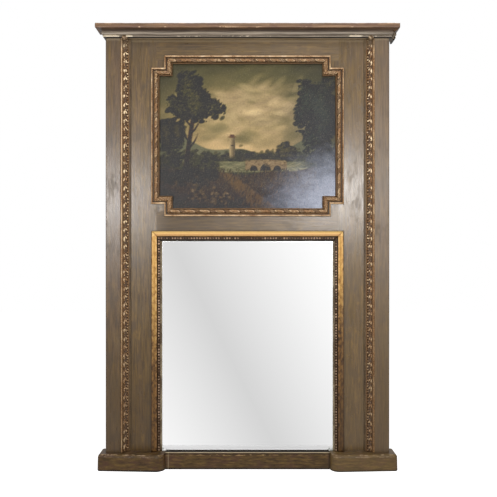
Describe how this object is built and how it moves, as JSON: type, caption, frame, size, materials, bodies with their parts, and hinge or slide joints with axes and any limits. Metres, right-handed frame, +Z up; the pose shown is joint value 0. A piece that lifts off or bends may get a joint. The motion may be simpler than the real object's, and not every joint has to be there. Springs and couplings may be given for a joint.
{
  "type": "trumeau mirror",
  "caption": "Tall panelled mirror: painted wood frame with pilasters and a small cornice, a picture in a notched moulding above a beaded, gilt-edged mirror plate.",
  "frame": {"origin": "centre of the bounding box's bottom face, on the surface the mirror stands on", "axes": "+X to the viewer's right, +Y into the wall behind, +Z up; the face looks along -Y"},
  "size_m": [1.108, 0.0956, 1.63],
  "materials": {
    "painted_wood": "aged gloss paint",
    "carved_wood": "worn bronze paint",
    "gilt_wood": "worn gilding",
    "beaded_wood": "worn bronze paint",
    "bare_wood": "bare",
    "mirror_glass": "polished",
    "canvas": "oil paint",
    "brass": "aged",
    "steel": "plain"
  },
  "bodies": {
    "frame": {"back_board_screws": "steel", "base_rail": "painted_wood", "bead_moulding_left": "beaded_wood", "bead_moulding_right": "beaded_wood", "bead_moulding_top": "beaded_wood", "canvas_tacks": "steel", "carved_strip_left": "carved_wood", "carved_strip_right": "carved_wood", "cornice_backing": "painted_wood", "cornice_front": "painted_wood", "cornice_return_left": "painted_wood", "cornice_return_right": "painted_wood", "field_stile_left": "painted_wood", "field_stile_right": "painted_wood", "frieze_rail": "painted_wood", "glazing_blocks": "bare_wood", "hanger_plate_left": "brass", "hanger_plate_right": "brass", "hanger_screws": "steel", "lower_rail": "painted_wood", "middle_rail": "painted_wood", "mirror_back_plank_1": "bare_wood", "mirror_back_plank_2": "bare_wood", "mirror_back_plank_3": "bare_wood", "mirror_frame_left": "gilt_wood", "mirror_frame_right": "gilt_wood", "mirror_frame_top": "gilt_wood", "mirror_plate": "mirror_glass", "painted_canvas": "canvas", "picture_back_board": "bare_wood", "picture_corner_bottom_left": "carved_wood", "picture_corner_bottom_right": "carved_wood", "picture_corner_top_left": "carved_wood", "picture_corner_top_right": "carved_wood", "picture_frame_bottom": "carved_wood", "picture_frame_left": "carved_wood", "picture_frame_right": "carved_wood", "picture_frame_top": "carved_wood", "pilaster_left": "painted_wood", "pilaster_right": "painted_wood", "plinth_block_left": "painted_wood", "plinth_block_right": "painted_wood", "spandrel_bottom_left": "painted_wood", "spandrel_bottom_right": "painted_wood", "spandrel_top_left": "painted_wood", "spandrel_top_right": "painted_wood", "stretcher_bottom": "bare_wood", "stretcher_cross_bar": "bare_wood", "stretcher_keys": "bare_wood", "stretcher_left": "bare_wood", "stretcher_right": "bare_wood", "stretcher_top": "bare_wood"},
    "ring_left": {"hanger_ring_left": "brass"},
    "ring_right": {"hanger_ring_right": "brass"}
  },
  "joints": [
    {"name": "ring_left_swing", "type": "hinge", "parent": "frame", "child": "ring_left", "pos_m": [-0.43, 0.04424, 1.499], "axis": [1, 0, 0], "range_deg": [0, 178]},
    {"name": "ring_right_swing", "type": "hinge", "parent": "frame", "child": "ring_right", "pos_m": [0.43, 0.04424, 1.499], "axis": [1, 0, 0], "range_deg": [0, 178]}
  ]
}
